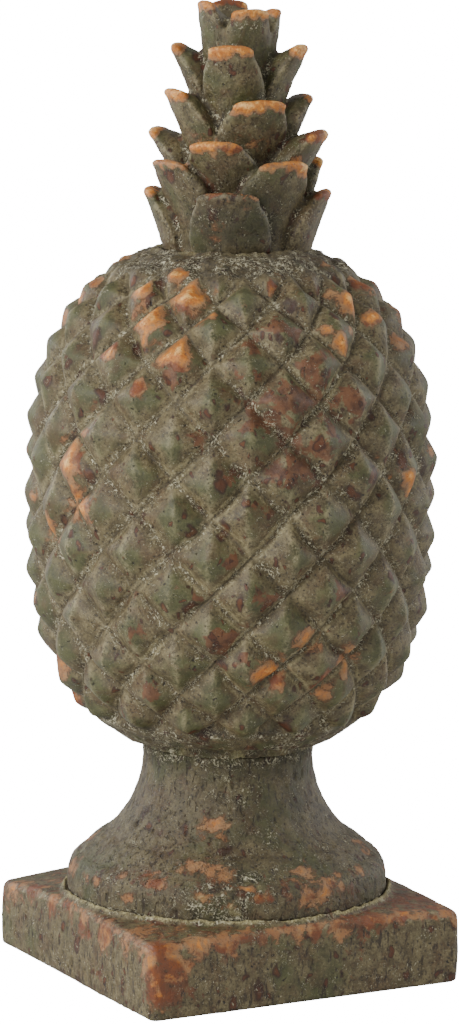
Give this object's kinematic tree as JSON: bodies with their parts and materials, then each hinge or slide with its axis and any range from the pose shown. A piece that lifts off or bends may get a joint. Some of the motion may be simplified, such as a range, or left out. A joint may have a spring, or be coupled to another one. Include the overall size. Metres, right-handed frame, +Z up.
{
  "type": "pineapple finial",
  "caption": "Terracotta pineapple finial: crown of thick curling leaves on a fruit of pyramid scales, on a flared round foot and a worn square plinth.",
  "frame": {"origin": "under the middle of the square plinth, on the surface that it stands on", "axes": "+Z up along the fruit's axis; the plinth's sides are parallel to X and Y"},
  "size_m": [0.213, 0.213, 0.5004],
  "materials": {
    "plinth": "matte",
    "foot": "matte",
    "fruit": "matte",
    "crown": "matte"
  },
  "bodies": {
    "root": {"plinth": "plinth", "foot": "foot", "fruit": "fruit", "crown": "crown"}
  },
  "joints": []
}
